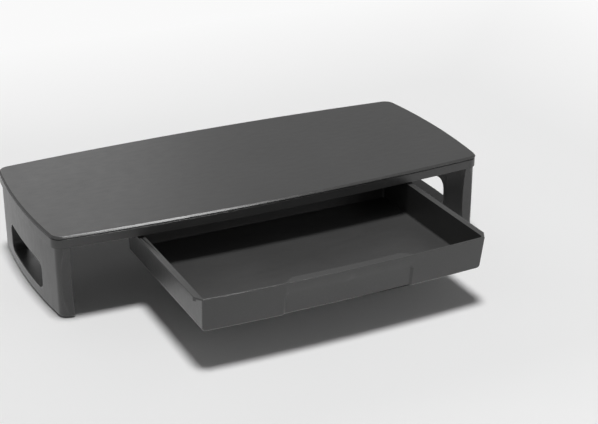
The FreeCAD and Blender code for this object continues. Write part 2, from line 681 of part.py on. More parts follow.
def make_rail(label, side):
    """Guide rail, fixed under the ribs: the drawer's hook runs in it, between two stops."""
    body = new_body(label)
    inward = mirrored(side)
    section = new_sketch(body, "section", "XZ_Plane", "rail_front")
    draw_outline(section, inward(rail_outline()))
    pad(body, section, "rail_front + rail_back", "channel", True)
    stop = new_sketch(body, "stop", offset="-(drawer_top - guide_gap + catch_height)")
    inner = "(hook_reach + rail_play)"
    draw_outline(stop, inward(box_corners(
        f"({inner} - guide_reach + stop_inset)", f"({inner} + overlap)",
        "-rail_front", "(catch_length - rail_front)")))
    pad(body, stop, "catch_height + overlap", "stop_pad")
    closing = new_sketch(body, "end_stop", "XZ_Plane", "-(rail_back - rail_wall)")
    draw_outline(closing, inward(box_corners(
        "(drawer_half + catch_gap)", f"({inner} + overlap)",
        "-(drawer_top + hook_drop + rail_lift + overlap)", "-(drawer_top - guide_gap - overlap)")))
    pad(body, closing, "rail_wall", "end_stop_pad", True)
    holes = new_sketch(body, "wing_holes", offset="-(rib_bottom + rail_wall)")
    for x, y in screw_places(f"{side} * {RAIL_SCREW_X}"):
        draw_circle(holes, x, y, "screw_shank_radius + cover_gap")
    pocket(body, holes, "rail_wall", "wing_hole_cut", True)
    return body


def make_screws(label, places, seat):
    """Pan-head screws, driven upwards: heads under the seat, shanks in the bosses."""
    screws = []
    for number, (x, y) in enumerate(places, start=1):
        head = doc.addObject("Part::Cylinder", f"{label}_head_{number}")
        set_size(head, "Radius", "screw_head_radius")
        set_size(head, "Height", "screw_head_height")
        set_size(head, "Placement.Base.z", f"-({seat} + screw_head_height)")
        shank = doc.addObject("Part::Cylinder", f"{label}_shank_{number}")
        set_size(shank, "Radius", "screw_shank_radius")
        set_size(shank, "Height", f"{seat} - rib_bottom + screw_grip + overlap")
        set_size(shank, "Placement.Base.z", f"-({seat} + overlap)")
        for piece in (head, shank):
            set_size(piece, "Placement.Base.x", x)
            set_size(piece, "Placement.Base.y", y)
        screw = doc.addObject("Part::Fuse", f"{label}_screw_{number}")
        screw.Base = head
        screw.Tool = shank
        screws.append(screw)
    group = doc.addObject("Part::Compound", label)
    group.Label = label
    group.Links = screws
    doc.recompute()
    return group


def make_all():
    parts = [make_platform(), make_drawer()]
    for side, word in ((-1, "left"), (1, "right")):
        parts.append(make_leg_shell(f"leg_shell_{word}", side))
        parts.append(make_leg_cover(f"leg_cover_{word}", side))
        parts.append(make_rail(f"rail_{word}", side))
        for end, place in ((-1, "front"), (1, "rear")):
            parts.append(make_foot(f"foot_{place}_{word}", f"{side} * foot_x", f"{end} * foot_y"))
        leg_row = screw_places(f"{side} * {LEG_SCREW_X}")
        parts.append(make_screws(f"leg_screws_{word}", leg_row, "(rib_bottom + flange_plate)"))
        rail_row = screw_places(f"{side} * {RAIL_SCREW_X}")
        parts.append(make_screws(f"rail_screws_{word}", rail_row, "(rib_bottom + rail_wall)"))
    return parts


def check_all(parts):
    for item in doc.Objects:
        if "Invalid" in item.State or "Error" in item.State:
            raise RuntimeError(f"{item.Name} failed: {item.State}")
    for part in parts:
        if part.Shape.isNull() or not part.Shape.isValid():
            raise RuntimeError(f"{part.Label} has no valid shape")


def write_all(parts):
    os.makedirs("parts", exist_ok=True)
    for part in parts:
        part.Shape.exportStep(f"parts/{part.Label}.step")
        box = part.Shape.BoundBox
        print(f"{part.Label}: {len(part.Shape.Solids)} solids, {part.Shape.Volume / 1000:.1f} cm3, "
              f"x {box.XMin:.1f} {box.XMax:.1f}, y {box.YMin:.1f} {box.YMax:.1f}, "
              f"z {box.ZMin:.1f} {box.ZMax:.1f}")


fill_sheet()
stand = make_all()
doc.recompute()
check_all(stand)
write_all(stand)
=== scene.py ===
import math

import bmesh
import bpy
from mathutils import Matrix, Vector


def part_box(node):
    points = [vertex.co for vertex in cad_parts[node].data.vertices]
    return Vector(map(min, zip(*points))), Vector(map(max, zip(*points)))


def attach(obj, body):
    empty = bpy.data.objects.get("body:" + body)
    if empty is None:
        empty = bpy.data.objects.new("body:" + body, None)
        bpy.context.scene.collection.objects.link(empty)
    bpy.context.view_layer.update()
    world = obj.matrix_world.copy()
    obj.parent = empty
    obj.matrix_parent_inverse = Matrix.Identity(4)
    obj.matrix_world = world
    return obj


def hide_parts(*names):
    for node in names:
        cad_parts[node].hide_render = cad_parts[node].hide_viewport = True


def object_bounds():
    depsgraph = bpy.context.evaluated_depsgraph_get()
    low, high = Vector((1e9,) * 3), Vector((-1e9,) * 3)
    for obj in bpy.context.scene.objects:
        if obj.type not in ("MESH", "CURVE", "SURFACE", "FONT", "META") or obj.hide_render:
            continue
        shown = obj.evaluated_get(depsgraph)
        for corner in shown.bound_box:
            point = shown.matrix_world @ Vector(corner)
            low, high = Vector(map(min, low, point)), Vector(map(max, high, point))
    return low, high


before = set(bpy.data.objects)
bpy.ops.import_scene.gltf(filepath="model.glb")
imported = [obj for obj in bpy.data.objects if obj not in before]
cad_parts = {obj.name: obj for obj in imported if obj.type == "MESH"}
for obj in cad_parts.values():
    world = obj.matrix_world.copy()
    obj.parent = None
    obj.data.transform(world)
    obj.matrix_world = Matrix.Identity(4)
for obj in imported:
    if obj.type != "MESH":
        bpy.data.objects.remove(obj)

bl_info = {
    "name": "Monitor stand with drawer",
    "version": (1, 0, 0),
    "blender": (4, 5, 0),
    "location": "View3D > Sidebar > Monitor stand",
    "description": "Finishes the mouldings, feet and screws of a desk stand and sets up its studio",
    "category": "Object",
}

SIDES = ("left", "right")
ENDS = ("front", "rear")
MM = 0.001
# Attribute for faces rubbed smoother and painted lighter, a painted highlight along edges and the lip
RUB_AND_HIGHLIGHT = "rub_and_highlight"
CAD_LOW, CAD_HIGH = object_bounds()
DESK = CAD_LOW.z
FOOT_LOW, FOOT_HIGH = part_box("foot_rear_right")

# How near counts as the same place, and how far faces turn at an edge
WELD = 0.002 * MM
HAIR = 0.02 * MM
SLACK = 0.05 * MM
FLAT = math.radians(0.2)
FAINT = math.radians(9)
CREASE = math.radians(25)

# Least upward part of a level face's normal
LEVEL = 0.98

# Platform: heights from its top face, and depths behind its bowed outline
LIP_FOOT = -3.2 * MM
SKIRT_TOP = -4.6 * MM
LIP_RADIUS = 2.4 * MM
LIP_EDGE = 1.1 * MM
SKIRT_EDGE = 1.3 * MM
SIDE_BOW = 8.2 * MM
FRONT_BOW = 12.3 * MM
PLATFORM_CORNER = 15 * MM

# Legs: where their shells split, and what bounds their upright corners and windows
LEG_SPLIT = 272.5 * MM
LEG_TOP = -17 * MM
LEG_FOOT = -104 * MM
SOLE = 0.6 * MM
LEG_CORNER_WIDE = 17 * MM
LEG_CORNER_DEEP = 8 * MM
LEG_END = 5 * MM
WINDOW_END = 70 * MM
WINDOW_TOP = -50 * MM
WINDOW_FOOT = -97 * MM

# Drawer: its rim and floor, its front's outline, and the recess in its front
RIM = -18.5 * MM
CAVITY_FLOOR = -59.2 * MM
CAVITY_END = 180 * MM
FRONT_LINE = -298 * MM
FRONT_SIDE = 181 * MM
FRONT_EDGE = 176 * MM
FRONT_EDGE_TOP = -57.2 * MM
PANEL_END = 183.4 * MM
FLANGE_ROOT = 183 * MM
FLANGE_SETBACK = 1.3
RECESS_END = 77 * MM
RECESS_LINE = -301 * MM
RECESS_TOP = -30 * MM

# Screws: shares of the head's radius and of the cross, and steps round a turn
HEAD_OUTLINE = ((0.62, 0), (0.85, 0.06), (0.96, 0.16), (1, 0.3), (1, 0.65), (0.44, 0.65))
SHANK = 0.44
POINT = 0.3
TURN_STEPS = 24
CROSS_CELLS = 3
CROSS_DEPTH = 0.5
CROSS_TAPER = 0.55

# Studio: the floor, and where beside the stand it turns into the backdrop
FLOOR_HALF = 6
GLOSS_FROM, GLOSS_TO = -60 * MM, -10 * MM
BACKDROP_FROM, BACKDROP_TO = 0.3, 0.8
FULL = 1.0
SUN_SPREAD = math.radians(12)
SENSOR = 36


class StandFinish(bpy.types.PropertyGroup):
    """Colours and surfaces of the stand's materials."""
    plastic: bpy.props.FloatVectorProperty(
        name="Plastic", description="Colour of the moulded plastic", subtype="COLOR",
        default=(0.054, 0.054, 0.0535), min=0, max=1)
    plastic_roughness: bpy.props.FloatProperty(
        name="Plastic roughness", description="Roughness of the textured plastic", subtype="FACTOR",
        default=0.38, min=0, max=1)
    grain: bpy.props.FloatProperty(
        name="Grain", description="Size of the texture in the mould", unit="LENGTH",
        default=0.7 * MM, min=0.1 * MM, max=5 * MM)
    grain_depth: bpy.props.FloatProperty(
        name="Grain depth", description="Height of the texture in the mould", unit="LENGTH",
        default=0.03 * MM, min=0, max=1 * MM)
    rail: bpy.props.FloatVectorProperty(
        name="Rails", description="Colour of the smooth guide rails", subtype="COLOR",
        default=(0.022, 0.022, 0.023), min=0, max=1)
    rubber: bpy.props.FloatVectorProperty(
        name="Rubber", description="Colour of the feet", subtype="COLOR",
        default=(0.017, 0.017, 0.017), min=0, max=1)
    steel: bpy.props.FloatVectorProperty(
        name="Steel", description="Colour of the zinc-plated screws", subtype="COLOR",
        default=(0.56, 0.57, 0.59), min=0, max=1)


class StandEdges(bpy.types.PropertyGroup):
    """Roundings that the mouldings have at their edges."""
    lip: bpy.props.FloatProperty(
        name="Lip", description="Lower edge of the platform's lip", unit="LENGTH", default=0.4 * MM)
    lip_bevel: bpy.props.FloatProperty(
        name="Lip bevel", description="How far the lip's edge is a bevel rather than round",
        subtype="FACTOR", default=0.75, min=0, max=1)
    skirt: bpy.props.FloatProperty(
        name="Skirt", description="Lower edges of the skirt", unit="LENGTH", default=0.7 * MM)
    leg: bpy.props.FloatProperty(
        name="Leg", description="Edges of the leg mouldings", unit="LENGTH", default=0.8 * MM)
    corner: bpy.props.FloatProperty(
        name="Leg corner", description="Upright corners of the legs", unit="LENGTH", default=1.4 * MM)
    cover: bpy.props.FloatProperty(
        name="Cover", description="Edges of the legs' covers", unit="LENGTH", default=0.3 * MM)
    window: bpy.props.FloatProperty(
        name="Window", description="Edges round the legs' windows", unit="LENGTH", default=1.2 * MM)
    drawer: bpy.props.FloatProperty(
        name="Drawer", description="Outer edges of the drawer's front", unit="LENGTH", default=1.6 * MM)
    pull: bpy.props.FloatProperty(
        name="Pull", description="Half the length of the finger pull's hollow", unit="LENGTH",
        default=80.8 * MM)
    flange: bpy.props.FloatProperty(
        name="Flange", description="How far the flanges' front ends slant back", unit="LENGTH",
        default=10 * MM)
    rim: bpy.props.FloatProperty(
        name="Rim", description="Top edges of the drawer's walls", unit="LENGTH", default=0.5 * MM)
    floor: bpy.props.FloatProperty(
        name="Floor", description="Rounding between the drawer's walls and floor", unit="LENGTH",
        default=2.5 * MM)
    cross: bpy.props.FloatProperty(
        name="Cross", description="Width of the cross in the screws' heads", unit="LENGTH",
        default=3 * MM)
    foot: bpy.props.FloatProperty(
        name="Foot", description="Edges of the rubber feet", unit="LENGTH", default=0.9 * MM)


class StandStage(bpy.types.PropertyGroup):
    """Studio floor, lamps and camera."""
    floor: bpy.props.FloatVectorProperty(
        name="Floor", description="Colour of the floor near the stand", subtype="COLOR",
        default=(0.88, 0.88, 0.88), min=0, max=1)
    backdrop: bpy.props.FloatVectorProperty(
        name="Backdrop", description="Colour of the backdrop and of the floor far away",
        subtype="COLOR", default=(0.95, 0.95, 0.95), min=0, max=1)
    overhead: bpy.props.FloatProperty(
        name="Overhead", description="Strength of the even light from straight above", default=2.4, min=0)
    softbox: bpy.props.FloatProperty(
        name="Softbox", description="Power of the softbox that only shows in the gloss", unit="POWER",
        default=20, min=0)
    side: bpy.props.FloatProperty(
        name="Side", description="Power of the large lamp at the front right", unit="POWER",
        default=6, min=0)
    back: bpy.props.FloatProperty(
        name="Back", description="Power of the wide lamp behind the stand", unit="POWER",
        default=4, min=0)
    fill: bpy.props.FloatProperty(
        name="Fill", description="Strength of the even light from all round", default=0.11, min=0)
    shine: bpy.props.FloatProperty(
        name="Shine", description="Brightness of the backdrop in reflections", default=0.36, min=0)
    azimuth: bpy.props.FloatProperty(
        name="Azimuth", description="Camera's turn round the stand, from its front", subtype="ANGLE",
        default=math.radians(-26.27))
    elevation: bpy.props.FloatProperty(
        name="Elevation", description="Camera's height over the horizon", subtype="ANGLE",
        default=math.radians(24.24))
    distance: bpy.props.FloatProperty(
        name="Distance", description="Camera to the point it looks at", unit="LENGTH", default=1.9)
    target: bpy.props.FloatVectorProperty(
        name="Target", description="Point that the camera looks at", subtype="XYZ", unit="LENGTH",
        default=(0.0573, -0.0582, -0.0608))
    lens: bpy.props.FloatProperty(
        name="Lens", description="Focal length in millimetres for a 36 mm sensor", default=87.12)


def finish():
    return bpy.context.scene.stand_finish


def edges():
    return bpy.context.scene.stand_edges


def stage():
    return bpy.context.scene.stand_stage


class Shader:
    """A material whose nodes are added by kind and wired by socket name."""

    def __init__(self, name):
        self.material = bpy.data.materials.new(name)
        self.material.use_nodes = True
        self.tree = self.material.node_tree
        self.surface = self.tree.nodes["Principled BSDF"]

    def add(self, kind, settings=(), values=(), inputs=()):
        node = self.tree.nodes.new(kind)
        for key, value in dict(settings).items():
            setattr(node, key, value)
        for key, value in dict(values).items():
            node.inputs[key].default_value = value
        for key, socket in dict(inputs).items():
            self.tree.links.new(socket, node.inputs[key])
        return node

    def place(self, scale=(1, 1, 1)):
        """Object coordinates, stretched where a pattern runs one way."""
        coords = self.add("ShaderNodeTexCoord")
        mapping = self.add("ShaderNodeMapping", values={"Scale": scale},
                           inputs={"Vector": coords.outputs["Object"]})
        return mapping.outputs["Vector"]

    def noise(self, place, scale, detail=2, roughness=0.5):
        return self.add("ShaderNodeTexNoise",
                        values={"Scale": scale, "Detail": detail, "Roughness": roughness},
                        inputs={"Vector": place}).outputs["Fac"]

    def spread(self, factor, low, high, start=0.3, end=0.7):
        """The factor's range from start to end, laid out from low to high."""
        return self.add("ShaderNodeMapRange", values={
            "From Min": start, "From Max": end, "To Min": low, "To Max": high,
        }, inputs={"Value": factor}).outputs["Result"]

    def shade(self, colour, factor):
        """The colour, made darker or lighter by the factor."""
        return self.add("ShaderNodeVectorMath", {"operation": "SCALE"}, {0: colour[:3]},
                        {"Scale": factor}).outputs["Vector"]

    def sum(self, first, second, operation="ADD"):
        return self.add("ShaderNodeMath", {"operation": operation}, (), {0: first, 1: second}).outputs[0]

    def bump(self, height, distance, strength, after=None):
        node = self.add("ShaderNodeBump", values={"Distance": distance}, inputs={"Height": height})
        if isinstance(strength, bpy.types.NodeSocket):
            self.tree.links.new(strength, node.inputs["Strength"])
        else:
            node.inputs["Strength"].default_value = strength
        if after:
            self.tree.links.new(after, node.inputs["Normal"])
        return node.outputs["Normal"]

    def wire(self, **sockets):
        names = {"colour": "Base Color", "roughness": "Roughness", "normal": "Normal"}
        for key, socket in sockets.items():
            self.tree.links.new(socket, self.surface.inputs[names[key]])
        return self.material


def moulded_plastic(name):
    """Dark satin plastic from a textured mould, a little smoother where hands and edges rub, and painted
    lighter there as a painted highlight.
    """
    look = finish()
    shader = Shader(name)
    place = shader.place()
    rub_and_highlight = shader.add("ShaderNodeAttribute", {"attribute_name": RUB_AND_HIGHLIGHT}).outputs["Fac"]
    cloud = shader.noise(place, scale=11, detail=3)
    flow = shader.noise(shader.place((1, 2.6, 1)), scale=60)
    grain = shader.noise(place, scale=1 / look.grain, detail=3, roughness=0.65)
    pits = shader.noise(place, scale=0.35 / look.grain, detail=1)
    tone = shader.sum(shader.spread(cloud, low=0.95, high=1.05),
                      shader.spread(grain, low=-0.05, high=0.05))
    tone = shader.sum(tone, shader.spread(pits, low=-0.05, high=0.05))
    # Rubbed faces painted up to 14% lighter: a painted highlight along the eased edges and the lip
    tone = shader.sum(tone, shader.spread(rub_and_highlight, low=0, high=0.14, start=0, end=1))
    even = look.plastic_roughness
    rough = shader.sum(shader.spread(flow, low=even - 0.03, high=even + 0.03),
                       shader.spread(rub_and_highlight, low=0, high=-0.15, start=0, end=1))
    rough = shader.sum(rough, shader.spread(cloud, low=-0.02, high=0.02))
    coarse = shader.bump(pits, look.grain_depth, strength=0.35)
    worn = shader.spread(rub_and_highlight, low=0.6, high=0.1, start=0, end=1)
    fine = shader.bump(grain, look.grain_depth, strength=worn, after=coarse)
    return shader.wire(colour=shader.shade(look.plastic, tone), roughness=rough, normal=fine)


def rail_plastic():
    """Smooth, hard plastic with faint sliding marks along the rails."""
    look = finish()
    shader = Shader("rail plastic")
    cloud = shader.noise(shader.place(), scale=25)
    marks = shader.noise(shader.place((1, 0.02, 1)), scale=900)
    tone = shader.sum(shader.spread(cloud, low=0.93, high=1.07),
                      shader.spread(marks, low=-0.05, high=0.08))
    rough = shader.spread(marks, low=0.30, high=0.42)
    return shader.wire(colour=shader.shade(look.rail, tone), roughness=rough,
                       normal=shader.bump(marks, distance=0.004 * MM, strength=0.5))


def foot_rubber():
    """Matt rubber with a fine, uneven skin."""
    shader = Shader("foot rubber")
    place = shader.place()
    skin = shader.noise(place, scale=2600)
    cloud = shader.noise(place, scale=120)
    return shader.wire(colour=shader.shade(finish().rubber, shader.spread(cloud, low=0.85, high=1.2)),
                       roughness=shader.spread(skin, low=0.74, high=0.9),
                       normal=shader.bump(skin, distance=0.03 * MM, strength=0.6))


def zinc_steel():
    """Zinc-plated steel with faint turning marks and clouding."""
    shader = Shader("zinc plated steel")
    shader.surface.inputs["Metallic"].default_value = FULL
    place = shader.place()
    cloud = shader.noise(place, scale=700, detail=3)
    marks = shader.noise(place, scale=5000)
    return shader.wire(colour=shader.shade(finish().steel, shader.spread(cloud, low=0.86, high=1.05)),
                       roughness=shader.spread(marks, low=0.26, high=0.42),
                       normal=shader.bump(marks, distance=0.006 * MM, strength=0.4))


def material(name, make):
    """The material of that name, made when it is first asked for."""
    return bpy.data.materials.get(name) or make(name)


def copy_of(node):
    """A node's mesh with its triangles joined into whole faces, cut across so that no face is a ring."""
    low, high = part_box(node)
    shape = bmesh.new()
    shape.from_mesh(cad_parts[node].data)
    bmesh.ops.remove_doubles(shape, verts=shape.verts, dist=WELD)
    bmesh.ops.dissolve_limit(shape, angle_limit=FLAT, verts=shape.verts, edges=shape.edges,
                             use_dissolve_boundaries=False, delimit=set())
    for across in (Vector((1, 0, 0)), Vector((0, 1, 0))):
        bmesh.ops.bisect_plane(shape, geom=[*shape.verts, *shape.edges, *shape.faces], dist=WELD,
                               plane_co=(low + high) / 2, plane_no=across)
    shape.loops.layers.float.new(RUB_AND_HIGHLIGHT)
    return shape


def sharp(edge, crease=CREASE):
    return edge.calc_face_angle(0.0) > crease


def ease(shape, test, width, segments=3, hollow=False, rub_and_highlight=1.0, crease=CREASE):
    """Round the sharp edges whose two ends both pass the test: outer edges, or hollow ones."""
    chosen = [e for e in shape.edges if sharp(e, crease) and e.is_convex != hollow
              and test(e.verts[0].co) and test(e.verts[1].co)]
    if not chosen:
        raise RuntimeError("no edge to round")
    made = bmesh.ops.bevel(shape, geom=chosen, offset=width, offset_type="OFFSET", segments=segments,
                           profile=0.5, affect="EDGES", material=-1, clamp_overlap=False,
                           loop_slide=False)
    # The new faces get that share of rub: smoother, and painted lighter as a painted highlight along the
    # edge
    layer = shape.loops.layers.float[RUB_AND_HIGHLIGHT]
    for face in made["faces"]:
        for loop in face.loops:
            loop[layer] = rub_and_highlight


def polish_and_highlight(shape, test, rub_and_highlight=1.0):
    """Mark the faces that pass the test as rubbed smooth and painted lighter, a painted highlight."""
    layer = shape.loops.layers.float[RUB_AND_HIGHLIGHT]
    for face in shape.faces:
        if test(face):
            for loop in face.loops:
                loop[layer] = rub_and_highlight


def piece(shape, name, body, look, slot, *nodes):
    """Turn a shape into a shown piece that stands for its nodes."""
    bmesh.ops.remove_doubles(shape, verts=shape.verts, dist=WELD)
    for face in shape.faces:
        face.smooth = True
    for edge in shape.edges:
        edge.smooth = not sharp(edge)
    mesh = bpy.data.meshes.new(name)
    shape.to_mesh(mesh)
    shape.free()
    mesh.materials.append(look)
    thing = bpy.data.objects.new(name, mesh)
    bpy.context.scene.collection.objects.link(thing)
    weighted = thing.modifiers.new("even_normals", "WEIGHTED_NORMAL")
    weighted.keep_sharp = True
    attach(thing, body)
    if nodes:
        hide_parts(*nodes)
    return thing


def near(value, target, slack=SLACK):
    return abs(value - target) < slack


def flatten_lip(shape, share):
    """Draw the lip's round edge back towards a straight bevel by that share."""
    shape.normal_update()
    for corner in shape.verts:
        down = -corner.co.z
        if HAIR < down < LIP_RADIUS - HAIR:
            inset = LIP_RADIUS - math.sqrt(LIP_RADIUS ** 2 - (LIP_RADIUS - down) ** 2)
            outward = Vector((corner.normal.x, corner.normal.y, 0)).normalized()
            corner.co -= outward * share * (LIP_RADIUS - down - inset)


def behind_edge(point, high):
    """How far inside the platform's bowed outline a point lies; 0 anywhere in its rounded corners."""
    side = high.x - SIDE_BOW * (point.y / high.y) ** 2 - abs(point.x)
    front = high.y - FRONT_BOW * (point.x / high.x) ** 2 - abs(point.y)
    return 0.0 if max(side, front) < PLATFORM_CORNER else min(side, front)


class STAND_OT_platform(bpy.types.Operator):
    """Finish the top moulding: eased lip, shadow groove and skirt"""
    bl_idname = "stand.platform"
    bl_label = "Platform"

    def execute(self, context):
        low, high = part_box("platform")
        shape = copy_of("platform")
        size = edges()
        flatten_lip(shape, size.lip_bevel)
        # The lip's slopes count as rubbed: smoother, and painted lighter as a painted highlight along the
        # lip
        polish_and_highlight(shape, lambda f: f.calc_center_median().z > LIP_FOOT + SLACK and f.normal.z < LEVEL)
        ease(shape, lambda p: near(p.z, low.z), size.skirt)
        ease(shape, lambda p: near(p.z, LIP_FOOT) and behind_edge(p, high) < LIP_EDGE, size.lip)
        ease(shape, lambda p: near(p.z, SKIRT_TOP) and behind_edge(p, high) < SKIRT_EDGE, size.lip)
        piece(shape, "platform_moulding", "stand", material("satin plastic", moulded_plastic),
              "platform_plastic", "platform")
        return {"FINISHED"}


class STAND_OT_legs(bpy.types.Operator):
    """Finish the legs: eased outer edges and soft rims round the windows"""
    bl_idname = "stand.legs"
    bl_label = "Legs"

    def execute(self, context):
        look = material("satin plastic", moulded_plastic)
        size = edges()
        for side in SIDES:
            node = f"leg_shell_{side}"
            low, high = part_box(node)
            shape = copy_of(node)
            outer = max(abs(low.x), abs(high.x))
            ease(shape, in_window, size.window)
            ease(shape, lambda p: abs(p.x) > outer - LEG_CORNER_WIDE and LEG_FOOT < p.z < LEG_TOP
                 and abs(p.y) > high.y - LEG_CORNER_DEEP, size.corner, crease=FAINT)
            ease(shape, lambda p: near(p.z, low.z, SOLE) and not in_seat(p), size.leg)
            ease(shape, lambda p: near(abs(p.x), LEG_SPLIT) and abs(p.y) > high.y - LEG_END, size.leg)
            piece(shape, f"{node}_moulding", "stand", look, "leg_plastic", node)
            node = f"leg_cover_{side}"
            shape = copy_of(node)
            ease(shape, lambda p: near(abs(p.x), LEG_SPLIT), size.cover)
            piece(shape, f"{node}_plate", "stand", look, "leg_plastic", node)
        return {"FINISHED"}


def in_window(point):
    """True for the edges of a leg's window, inside and out."""
    return abs(point.y) < WINDOW_END and WINDOW_FOOT < point.z < WINDOW_TOP


def in_seat(point):
    """True for the rims of the recesses that hold the feet."""
    across, along = abs(point.x), abs(point.y)
    return FOOT_LOW.x - MM < across < FOOT_HIGH.x + MM and FOOT_LOW.y - MM < along < FOOT_HIGH.y + MM


class STAND_OT_drawer(bpy.types.Operator):
    """Finish the drawer: rounded front, rim and floor"""
    bl_idname = "stand.drawer"
    bl_label = "Drawer"

    def execute(self, context):
        low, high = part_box("drawer")
        shape = copy_of("drawer")
        size = edges()
        ease(shape, lambda p: near(p.z, CAVITY_FLOOR) and abs(p.x) < CAVITY_END, size.floor,
             hollow=True, rub_and_highlight=0.0)
        flange_end = min(corner.co.y for corner in shape.verts if corner.co.x > PANEL_END + MM)
        for corner in shape.verts:
            across = abs(corner.co.x)
            if near(across, RECESS_END, 4 * SLACK) and corner.co.y < RECESS_LINE \
                    and corner.co.z < RECESS_TOP:
                corner.co.x *= size.pull / RECESS_END
            if across > FLANGE_ROOT and near(corner.co.y, flange_end):
                beyond = (across - PANEL_END) / (high.x - PANEL_END)
                corner.co.y += FLANGE_SETBACK * size.drawer + beyond * size.flange
        ease(shape, lambda p: on_front(p, low), size.drawer)
        ease(shape, lambda p: near(p.z, RIM), size.rim)
        piece(shape, "drawer_moulding", "drawer", material("satin plastic", moulded_plastic),
              "drawer_plastic", "drawer")
        return {"FINISHED"}


def on_front(point, low):
    """True along the lower and side edges of the drawer's front."""
    across = abs(point.x)
    side = FRONT_SIDE < across < PANEL_END + MM
    edge = across > FRONT_EDGE and point.z < FRONT_EDGE_TOP
    return point.y < FRONT_LINE and (side or edge or near(point.z, low.z))


class STAND_OT_rails(bpy.types.Operator):
    """Give the guide rails their smooth plastic"""
    bl_idname = "stand.rails"
    bl_label = "Rails"

    def execute(self, context):
        look = rail_plastic()
        for side in SIDES:
            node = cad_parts[f"rail_{side}"]
            node.data.materials.clear()
            node.data.materials.append(look)
        return {"FINISHED"}


class STAND_OT_feet(bpy.types.Operator):
    """Make the rubber feet with rounded edges"""
    bl_idname = "stand.feet"
    bl_label = "Feet"

    def execute(self, context):
        look = foot_rubber()
        for side in SIDES:
            for end in ENDS:
                node = f"foot_{end}_{side}"
                shape = copy_of(node)
                ease(shape, lambda p: near(p.z, DESK), edges().foot, rub_and_highlight=0.0)
                piece(shape, f"{node}_pad", "stand", look, "rubber", node)
        return {"FINISHED"}


def cross_recess(shape, ring):
    """Sink a cross for the driver into the head's face, inside its ring of edges."""
    size = edges()
    arms = bmesh.ops.create_grid(shape, x_segments=CROSS_CELLS, y_segments=CROSS_CELLS,
                                 size=size.cross / 2)
    faces = list({face for corner in arms["verts"] for face in corner.link_faces})
    half_arm = size.cross / CROSS_CELLS / 2
    corners = [f for f in faces if min(abs(c) for c in f.calc_center_median().xy) > half_arm]
    bmesh.ops.delete(shape, geom=corners, context="FACES")
    faces = [face for face in faces if face.is_valid]
    outline = [e for face in faces for e in face.edges if e.is_boundary]
    sunk = bmesh.ops.extrude_face_region(shape, geom=faces, use_keep_orig=False)
    deep = [item for item in sunk["geom"] if isinstance(item, bmesh.types.BMVert)]
    bmesh.ops.scale(shape, verts=deep, vec=(CROSS_TAPER, CROSS_TAPER, 1))
    bmesh.ops.translate(shape, verts=deep, vec=(0, 0, size.cross * CROSS_DEPTH))
    bmesh.ops.delete(shape, geom=[face for face in faces if face.is_valid], context="FACES_ONLY")
    bmesh.ops.bridge_loops(shape, edges=outline + ring)


def pan_head(shape, place, radius, length):
    """A screw with a domed head, its driver's cross underneath, and its shank going up."""
    chain = [shape.verts.new((radius * out, 0, radius * up)) for out, up in HEAD_OUTLINE]
    chain.append(shape.verts.new((radius * SHANK, 0, length - radius * POINT)))
    chain.append(shape.verts.new((0, 0, length)))
    lines = [shape.edges.new(pair) for pair in zip(chain, chain[1:])]
    bmesh.ops.spin(shape, geom=chain + lines, cent=(0, 0, 0), axis=(0, 0, 1), angle=math.tau,
                   steps=TURN_STEPS, use_merge=True)
    bmesh.ops.remove_doubles(shape, verts=shape.verts, dist=WELD)
    ring = [e for e in shape.edges if e.is_boundary]
    cross_recess(shape, ring)
    bmesh.ops.recalc_face_normals(shape, faces=shape.faces)
    bmesh.ops.translate(shape, verts=shape.verts, vec=place)


class STAND_OT_screws(bpy.types.Operator):
    """Make the pan-head screws that hold the legs and rails"""
    bl_idname = "stand.screws"
    bl_label = "Screws"

    def execute(self, context):
        look = zinc_steel()
        for kind in ("leg", "rail"):
            for side in SIDES:
                node = f"{kind}_screws_{side}"
                low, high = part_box(node)
                radius = (high.x - low.x) / 2
                both = bmesh.new()
                for y in (low.y + radius, high.y - radius):
                    screw = bmesh.new()
                    pan_head(screw, (low.x + radius, y, low.z), radius, high.z - low.z)
                    one = bpy.data.meshes.new("screw")
                    screw.to_mesh(one)
                    screw.free()
                    both.from_mesh(one)
                    bpy.data.meshes.remove(one)
                piece(both, f"{node}_pan_heads", "stand", look, "screw_steel", node)
        return {"FINISHED"}


def floor_material(colour, backdrop):
    """Pale floor that keeps the shadow, and turns into the backdrop far away and in gloss."""
    shader = Shader("studio floor")
    place = shader.place()
    cloud = shader.noise(place, scale=3)
    shader.surface.inputs["Specular IOR Level"].default_value = 0.0
    shader.wire(colour=shader.shade(colour, shader.spread(cloud, low=0.995, high=1.005)),
                roughness=shader.spread(cloud, low=0.9, high=0.95))
    across = shader.add("ShaderNodeVectorMath", {"operation": "ABSOLUTE"}, (), {0: place})
    beyond = shader.add("ShaderNodeVectorMath", {"operation": "SUBTRACT"},
                        {1: (CAD_HIGH.x, CAD_HIGH.y, 0)}, {0: across.outputs["Vector"]})
    parts = shader.add("ShaderNodeSeparateXYZ", (), (), {"Vector": beyond.outputs["Vector"]})
    clear = shader.sum(parts.outputs["X"], parts.outputs["Y"], "MAXIMUM")
    rays = shader.add("ShaderNodeLightPath")
    beside = shader.sum(shader.spread(clear, low=0, high=1, start=GLOSS_FROM, end=GLOSS_TO),
                        rays.outputs["Is Glossy Ray"], "MULTIPLY")
    away = shader.sum(shader.spread(clear, low=0, high=1, start=BACKDROP_FROM, end=BACKDROP_TO),
                      rays.outputs["Is Camera Ray"], "MULTIPLY")
    pale = shader.add("ShaderNodeEmission", (), {"Color": (*backdrop, 1), "Strength": FULL})
    either = shader.add("ShaderNodeMixShader", (), (), {
        0: shader.sum(beside, away), 1: shader.surface.outputs["BSDF"], 2: pale.outputs["Emission"]})
    shader.tree.links.new(either.outputs["Shader"],
                          shader.tree.nodes["Material Output"].inputs["Surface"])
    return shader.material


